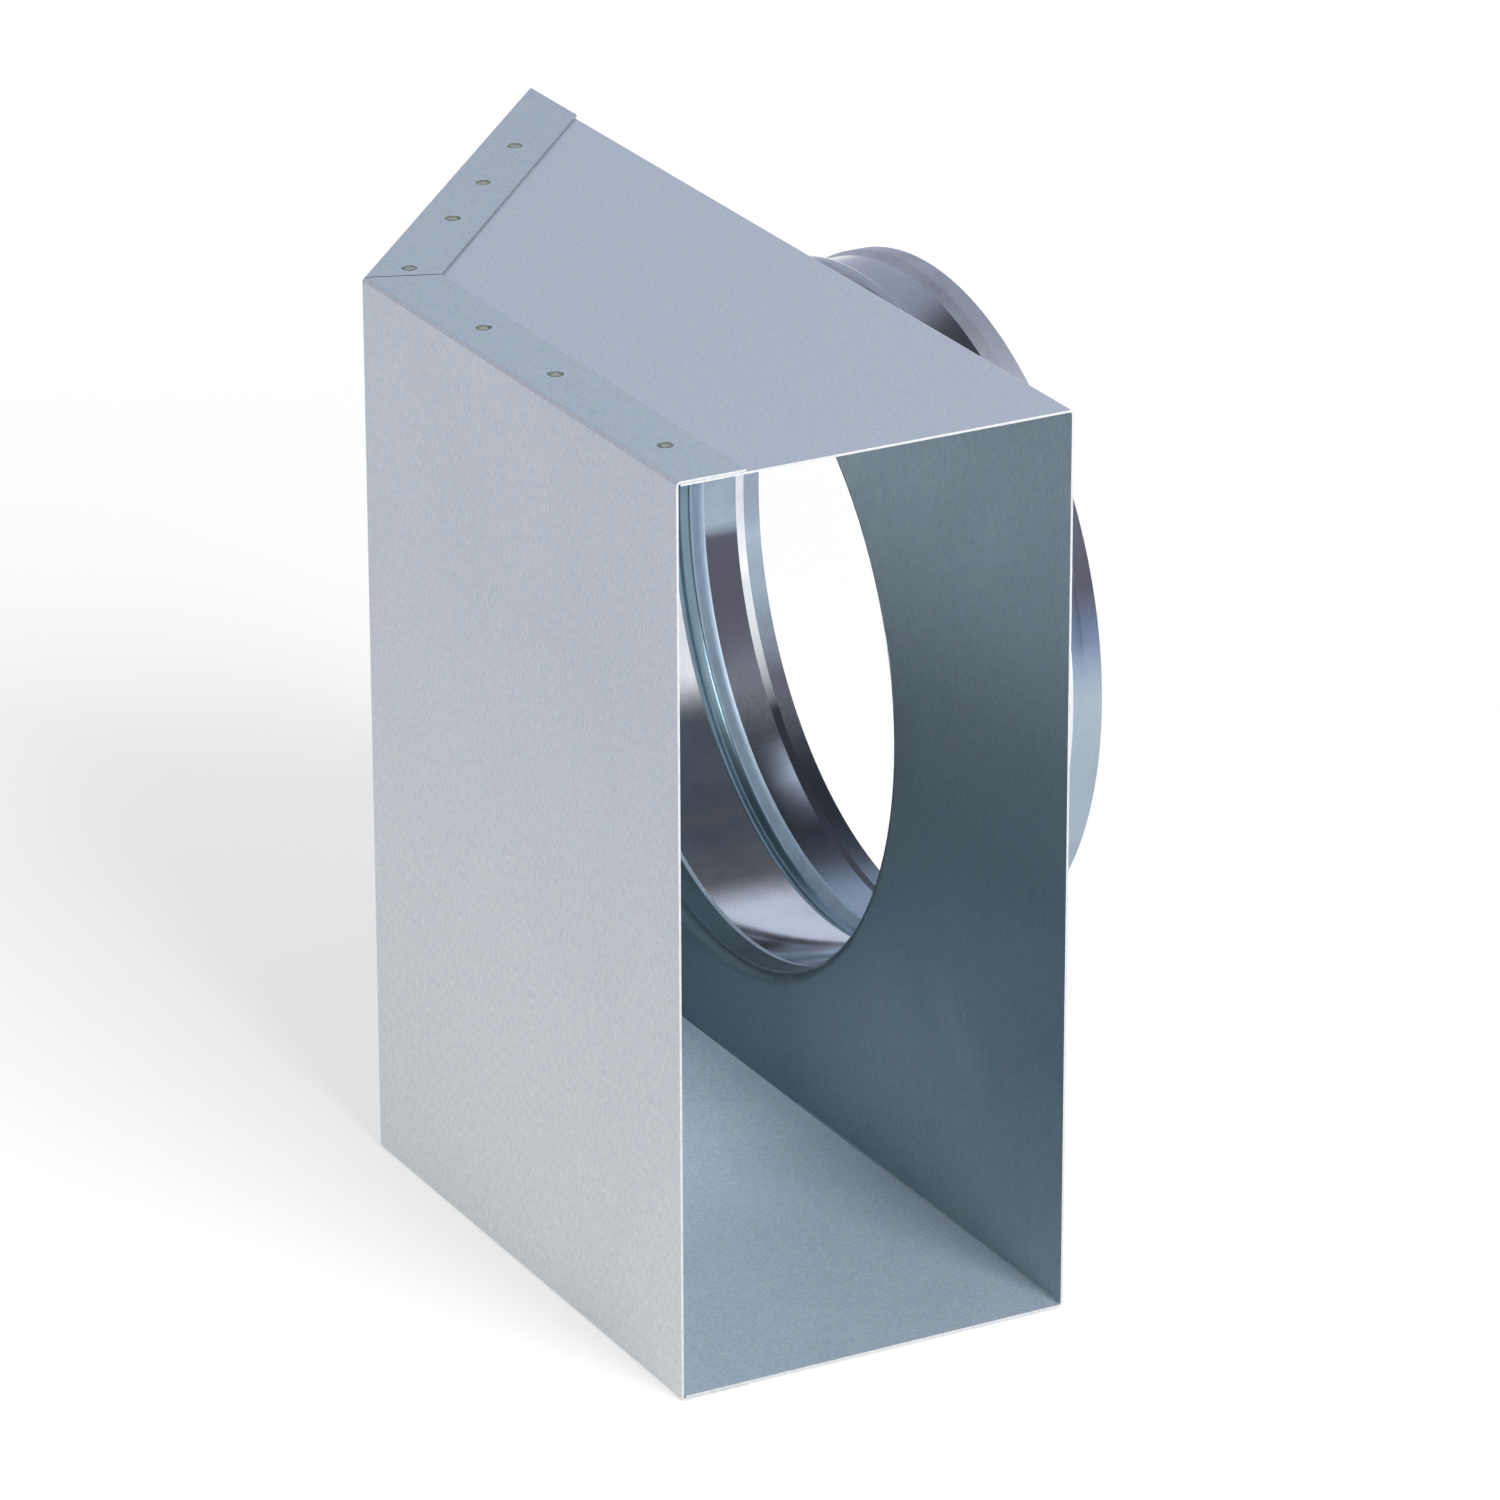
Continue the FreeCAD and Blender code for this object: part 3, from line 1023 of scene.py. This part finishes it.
    def tint_and_light_at(self, face: Face, place: Vector) -> TintAndPaintedLight:
        """Painted highlights and reflections: on the step, the bead, the spigot and the rim.

        Args:
            face: A face of the swept sheet.
            place: A corner of that face.

        Returns:
            The tint at that place.
        """
        outwards = face.calc_center_median() - self.sizes.axis
        reach = outwards.x
        outwards.x = 0.0
        if face.normal.dot(outwards) > 0:
            return self.outside_tints(reach, place.z)
        socket_end = self.sizes.lip_height + self.lap_gap
        bead_end = self.bead_start + self.bead_width
        # Painted highlight on the step
        if socket_end < reach < socket_end + self.socket_slope:
            return self.step_painted_highlight
        if reach < self.bead_start - self.reflection_margin:
            return CLEAN
        # Painted reflections on the bead and its far flank
        if reach < bead_end - self.bead_flank:
            return self.bead_painted_reflection
        if reach < bead_end + self.reflection_margin:
            return self.flank_painted_reflection
        if reach < self.rim_start:
            # Painted reflections by height, lightened towards the rim around one height
            by_rim = (place.x - self.sizes.axis.x - bead_end) / (self.rim_start - bead_end)
            light_patch = max(0.0, 1.0 - abs(place.z - self.light_reflection_height) / self.light_reflection_reach)
            layer = TintAndPaintedLight.at_height(self.spigot_painted_reflections, place.z)
            return layer.towards(self.light_painted_reflection, by_rim * light_patch)
        # Painted shade on the slope and painted reflections on the rim, by height
        on_slope = reach < self.rim_start + self.rim_slope
        return TintAndPaintedLight.at_height(self.slope_painted_shade if on_slope else self.rim_painted_reflections, place.z)

    def build(self) -> Piece:
        """Makes the collar and dresses it.

        Returns:
            The finished piece, which stands for its solid.
        """
        source = self.section()
        ShapeGraph.give(source, self.sweep_tree(), {
            "Bore radius": self.sizes.collar_bore,
            "Flats in a bend": self.flats_in_a_bend,
            "Segments": self.segments,
            "Centre": self.sizes.axis,
            "Finish": self.finish.build(),
        })
        swept = finished_piece(self.name, source)
        mesh = swept.data
        closed = bmesh.new()
        closed.from_mesh(mesh)
        bmesh.ops.remove_doubles(closed, verts=closed.verts, dist=SAME_POINT)
        bmesh.ops.recalc_face_normals(closed, faces=closed.faces)
        TintAndPaintedLight.lay(closed, self.tint_and_light_at)
        even_shading(closed)
        for face in closed.faces:
            face.material_index = int(abs(face.normal.x) > SQUARE_ON)
        mesh.materials.append(self.edge_finish.build())
        closed.to_mesh(mesh)
        closed.free()
        weigh_normals(swept)
        return hand_over(finished_piece(self.name, swept), "round_collar")


@dataclass
class SpotWelds:
    """Prints of the welding electrode along the flanges and the rear lap."""

    sizes: DuctSizes
    finish: WeldFinish
    REACH: ClassVar[str] = "reach_from_the_middle"
    LEAN: ClassVar[str] = "lean_to_one_side"
    FACING: ClassVar[str] = "weld_facing"
    name: str = "spot_weld_marks"
    radius: float = 2.3 * MM
    dish_depth: float = 0.10 * MM
    dish_range: Range = (0.86, 0.45)
    rim_rise: float = 0.02 * MM
    rim_range: Range = (1.0, 0.93)
    setback: float = 8.0 * MM
    lap_setback: float = 5.62 * MM
    short_side: float = 140.0 * MM
    side_shares: tuple[float, ...] = (0.14, 0.48, 0.71)
    deflector_shares: tuple[float, ...] = (0.06, 0.31, 0.495, 0.69)
    rear_shares: tuple[float, ...] = (0.12, 0.37, 0.63, 0.88)
    rings: int = 8
    spokes: int = 40
    seed: int = 7

    def plan_places(self) -> list[Vector]:
        """Places of the flange welds in plan.

        Returns:
            Points at the level of the floor, those of the side flange first.
        """
        low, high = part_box("wrapper_sheet")
        side_corner = Vector((low.x, low.y + self.short_side, 0.0))
        rear_corner = Vector((self.sizes.wall_outer, high.y, 0.0))
        along = (rear_corner - side_corner).normalized()
        inwards = Vector((along.y, -along.x, 0.0))
        length = (rear_corner - side_corner).length
        places = [Vector((low.x + self.setback, low.y + share * self.short_side, 0.0))
                  for share in self.side_shares]
        start = side_corner + inwards * self.setback
        places += [start + along * (share * length) for share in self.deflector_shares]
        return places

    def marks(self) -> list[tuple[Vector, Vector]]:
        """Every weld's place and the way that its print faces.

        Returns:
            Pairs of a place on the sheet's face and its outward direction.
        """
        up = Vector((0.0, 0.0, 1.0))
        low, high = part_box("wrapper_sheet")
        plate_low, plate_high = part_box("channel_sheet")
        inner_low = plate_low.z + self.sizes.sheet
        inner_high = plate_high.z - self.sizes.sheet
        levels = ((high.z, up), (low.z, -up), (inner_low, up), (inner_high, -up))
        marks = [(place + up * level, way) for place in self.plan_places() for level, way in levels]
        out = Vector((1.0, 0.0, 0.0))
        lap_end = self.sizes.lap_outer
        for share in self.rear_shares:
            place = Vector((lap_end, high.y - self.lap_setback, low.z + share * (high.z - low.z)))
            marks.append((place, out))
            marks.append((place - out * (lap_end - self.sizes.wall_inner), -out))
        return marks

    def seeds_mesh(self) -> Piece:
        """One point for each weld, which knows the way that its print faces.

        Returns:
            The object that the node tree starts from.
        """
        marks = self.marks()
        mesh = bpy.data.meshes.new("weld_places")
        mesh.from_pydata([place for place, _ in marks], [], [])
        facing = mesh.attributes.new(self.FACING, "FLOAT_VECTOR", "POINT")
        facing.data.foreach_set("vector", [part for _, way in marks for part in way])
        return put_in_scene("weld_places", mesh)

    def disc(self, graph: ShapeGraph) -> Socket:
        """One dished print: a grid of turn and reach, rolled into a disc.

        Args:
            graph: The tree that presses the prints.

        Returns:
            The print's geometry, which lies flat and knows its reach and its lean.
        """
        width = 1.0
        grid = graph.step("GeometryNodeMeshGrid", {
            "Size X": width, "Size Y": width, "Vertices X": graph.given["Rings"],
            "Vertices Y": graph.maths("ADD", graph.given["Spokes"], 1.0),
        })
        place = graph.step("GeometryNodeInputPosition")
        flat = graph.add("ShaderNodeSeparateXYZ", {0: place}).outputs
        reach = graph.maths("ADD", flat["X"], width / 2)
        turn = graph.maths("MULTIPLY", graph.maths("ADD", flat["Y"], width / 2), FULL_TURN)
        across = graph.maths("COSINE", turn)
        radius = graph.maths("MULTIPLY", reach, graph.given["Radius"])
        fall = graph.spread(reach, *self.dish_range)
        fall = graph.maths("MULTIPLY", fall, graph.given["Dish depth"])
        rise = graph.spread(reach, *self.rim_range)
        rise = graph.maths("MULTIPLY", rise, graph.given["Rim rise"])
        rolled = graph.step("ShaderNodeCombineXYZ", {
            "X": graph.maths("MULTIPLY", radius, across),
            "Y": graph.maths("MULTIPLY", radius, graph.maths("SINE", turn)),
            "Z": graph.maths("SUBTRACT", rise, fall),
        })
        kept = graph.keep(grid, self.REACH, reach)
        kept = graph.keep(kept, self.LEAN, graph.maths("MULTIPLY", reach, across))
        disc = graph.step("GeometryNodeSetPosition", {"Geometry": kept, "Position": rolled})
        closed = graph.step("GeometryNodeMergeByDistance", {
            "Geometry": disc, "Distance": SAME_POINT})
        return graph.step("GeometryNodeSetShadeSmooth", {"Geometry": closed})

    def print_tree(self) -> bpy.types.NodeTree:
        """Tree that presses one dished print at each point, each turned its own way.

        Returns:
            The node tree, with its sizes as named inputs.
        """
        graph = ShapeGraph("press_the_spot_welds", {
            "Radius": "Float", "Dish depth": "Float", "Rim rise": "Float",
            "Spokes": "Int", "Rings": "Int", "Seed": "Int",
        })
        turned = graph.step("FunctionNodeAlignRotationToVector", {
            "Vector": graph.attribute(self.FACING, "FLOAT_VECTOR")}, axis="Z")
        spin = graph.step("FunctionNodeRandomValue", {
            "Seed": graph.given["Seed"], graph.RANDOM_MOST: FULL_TURN,
        }, graph.RANDOM_RESULT, data_type="FLOAT")
        about = graph.step("ShaderNodeCombineXYZ", {"Z": spin})
        rotated = graph.step("FunctionNodeRotateRotation", {"Rotation": turned, "Rotate By": about},
                             rotation_space="LOCAL")
        pressed = graph.step("GeometryNodeInstanceOnPoints", {
            "Points": graph.given["Start"], "Instance": self.disc(graph), "Rotation": rotated})
        return graph.dressed(pressed)

    def build(self) -> Piece:
        """Makes the prints and dresses them.

        Returns:
            The finished piece.
        """
        source = self.seeds_mesh()
        ShapeGraph.give(source, self.print_tree(), {
            "Radius": self.radius, "Dish depth": self.dish_depth, "Rim rise": self.rim_rise,
            "Spokes": self.spokes, "Rings": self.rings, "Seed": self.seed,
            "Finish": self.finish.build(),
        })
        return hand_over(finished_piece(self.name, source))


@dataclass
class Studio:
    """Pale floor, soft surroundings and one large lamp."""

    floor_half: float = 6.0
    floor_colour: Colour = (0.40, 0.40, 0.40)
    floor_glow: Range = (0.60, 0.86)
    glow_grows: Range = (0.3, 1.2)
    front_colour: Colour = (1.0, 1.0, 1.0)
    dim_colour: Colour = (0.16, 0.20, 0.24)
    dim_ends: Range = (-0.35, 0.25)
    back_colour: Colour = (0.60, 0.65, 0.76)
    left_colour: Colour = (0.58, 0.60, 0.63)
    left_ends: Range = (-0.5, 0.35)
    goes_back: Range = (-0.4, 0.6)
    ceiling_colour: Colour = (0.075, 0.09, 0.11)
    warm_colour: Colour = (0.12, 0.118, 0.125)
    patches: Noise = Noise(0.5, 2.0)
    patch_range: Range = (0.42, 0.60)
    wall_top: Range = (0.50, 0.66)
    ceiling_start: Range = (0.70, 0.84)
    ambient: float = 0.40
    lamp_place: Place = (0.15, -1.85, 1.75)
    lamp_looks_at: Place = (0.0, 0.0, 0.1)
    lamp_width: float = 1.0
    lamp_watts: float = 60.0

    def floor_finish(self) -> bpy.types.Material:
        """Pale floor that keeps shadows and glows a little where it is seen, more so far away.

        Returns:
            The material.
        """
        material = bpy.data.materials.new("studio_floor")
        material.use_nodes = True
        nodes = material.node_tree.nodes
        nodes.remove(nodes["Principled BSDF"])
        graph = NodeGraph(material.node_tree)
        matt = graph.step("ShaderNodeBsdfDiffuse", {"Color": self.floor_colour})
        rays = graph.add("ShaderNodeLightPath").outputs
        seen = graph.maths("ADD", rays["Is Camera Ray"], rays["Is Glossy Ray"])
        seen = graph.maths("ADD", seen, rays["Is Transmission Ray"])
        place = graph.step("ShaderNodeTexCoord", output="Object")
        away = graph.step("ShaderNodeVectorMath", {0: place}, "Value", operation="LENGTH")
        strength = graph.spread(away, *self.glow_grows, *self.floor_glow)
        strength = graph.maths("MULTIPLY", seen, strength)
        glow = graph.step("ShaderNodeEmission", {"Strength": strength})
        both = graph.step("ShaderNodeAddShader", {0: matt, 1: glow})
        graph.feed(nodes["Material Output"].inputs["Surface"], both)
        return material

    def lay_floor(self) -> None:
        """Lays the floor under the elbow."""
        half = self.floor_half
        mesh = bpy.data.meshes.new("studio_floor")
        corners = [(-half, -half, 0), (half, -half, 0), (half, half, 0), (-half, half, 0)]
        mesh.from_pydata(corners, [], [(0, 1, 2, 3)])
        mesh.materials.append(self.floor_finish())
        put_in_scene("studio_floor", mesh)

    def set_surroundings(self) -> None:
        """Sets the world: pale walls, dimmer at the front left, under a dark ceiling."""
        world = bpy.data.worlds.new("studio")
        bpy.context.scene.world = world
        world.use_nodes = True
        world.node_tree.nodes.clear()
        graph = NodeGraph(world.node_tree)
        way = graph.step("ShaderNodeTexCoord", output="Generated")
        right, away, up = graph.add("ShaderNodeSeparateXYZ", {0: way}).outputs
        front = graph.blend(graph.spread(right, *self.dim_ends), self.dim_colour, self.front_colour)
        back = graph.blend(graph.spread(right, *self.left_ends), self.left_colour, self.back_colour)
        walls = graph.blend(graph.spread(away, *self.goes_back), front, back)
        patch = graph.spread(graph.noise(way, self.patches), *self.patch_range)
        ceiling = graph.blend(patch, self.ceiling_colour, self.warm_colour)
        rays = graph.add("ShaderNodeLightPath").outputs
        level = (self.ambient, self.ambient, self.ambient)
        ceiling = graph.blend(rays["Is Diffuse Ray"], ceiling, level)
        top = graph.spread(away, *self.goes_back, *self.wall_top)
        start = graph.spread(away, *self.goes_back, *self.ceiling_start)
        colour = graph.blend(graph.spread(up, top, start), walls, ceiling)
        background = graph.step("ShaderNodeBackground", {"Color": colour})
        graph.add("ShaderNodeOutputWorld", {"Surface": background})

    def hang_lamp(self) -> None:
        """Hangs the square lamp that looks at the elbow."""
        light = bpy.data.lights.new("key_lamp", "AREA")
        light.size = self.lamp_width
        light.energy = self.lamp_watts
        lamp = put_in_scene("key_lamp", light)
        lamp.location = self.lamp_place
        aim = Vector(self.lamp_looks_at) - Vector(self.lamp_place)
        lamp.rotation_euler = aim.to_track_quat("-Z", "Y").to_euler()

    def build(self) -> None:
        """Sets up the whole studio."""
        self.lay_floor()
        self.set_surroundings()
        self.hang_lamp()


@dataclass(frozen=True)
class PhotoCamera:
    """Camera that stands where the photograph was taken from."""

    place: Place = (-0.77438, -1.45565, 0.76073)
    turn_degrees: tuple[float, float, float] = (67.7667, 0.1469, -28.3905)
    lens_mm: float = 198.227
    sensor_mm: float = 36.0

    def build(self) -> None:
        """Puts up the camera and makes it the scene's own."""
        optics = bpy.data.cameras.new("camera")
        optics.lens = self.lens_mm
        optics.sensor_width = self.sensor_mm
        camera = put_in_scene("camera", optics)
        camera.location = self.place
        camera.rotation_euler = Euler([math.radians(turn) for turn in self.turn_degrees], "XYZ")
        bpy.context.scene.camera = camera


def main() -> None:
    """Builds the elbow and its studio, and reports each piece."""
    logging.basicConfig(level=logging.INFO, format="%(name)s %(message)s")
    bpy.context.scene.view_settings.view_transform = "Standard"
    PhotoCamera().build()
    sizes = DuctSizes()
    edge = CutEdgeFinish()
    inside_grey = SheetFinish("channel_galvanised", (0.51, 0.555, 0.62), (0.48, 0.525, 0.60), 0.31,
                              Grain.UPRIGHT)
    outside_grey = SheetFinish("wrapper_galvanised", (0.785, 0.80, 0.805), (0.745, 0.765, 0.78),
                               0.45, Grain.UPRIGHT)
    bright = SheetFinish("collar_bright", (0.80, 0.83, 0.88), (0.76, 0.80, 0.86), 0.10,
                         Grain.ROUND_THE_COLLAR, metallic=1.0, waves=Noise(30 * MM, 1.0),
                         fleck_share=0.1, patch_colour=(0.90, 0.88, 0.89), grain_contrast=0.05,
                         warmth=0.01, grain_depth=0.002 * MM, wave_depth=0.15 * MM)
    channel = FoldedChannel("folded_channel", "channel_sheet", Slot.CHANNEL, inside_grey, edge,
                            sizes)
    wrapper = FoldedWrapper("folded_wrapper", "wrapper_sheet", Slot.WRAPPER, outside_grey, edge,
                            sizes)
    collar = RolledCollar(sizes, bright, edge)
    welds = SpotWelds(sizes, WeldFinish())
    for part in (channel, wrapper, collar, welds):
        piece = part.build()
        LOG.info("%s: %d faces", piece.name, len(piece.data.polygons))
    Studio().build()
    LOG.info("studio: floor, surroundings and one lamp")


if __name__ == "__main__":
    main()
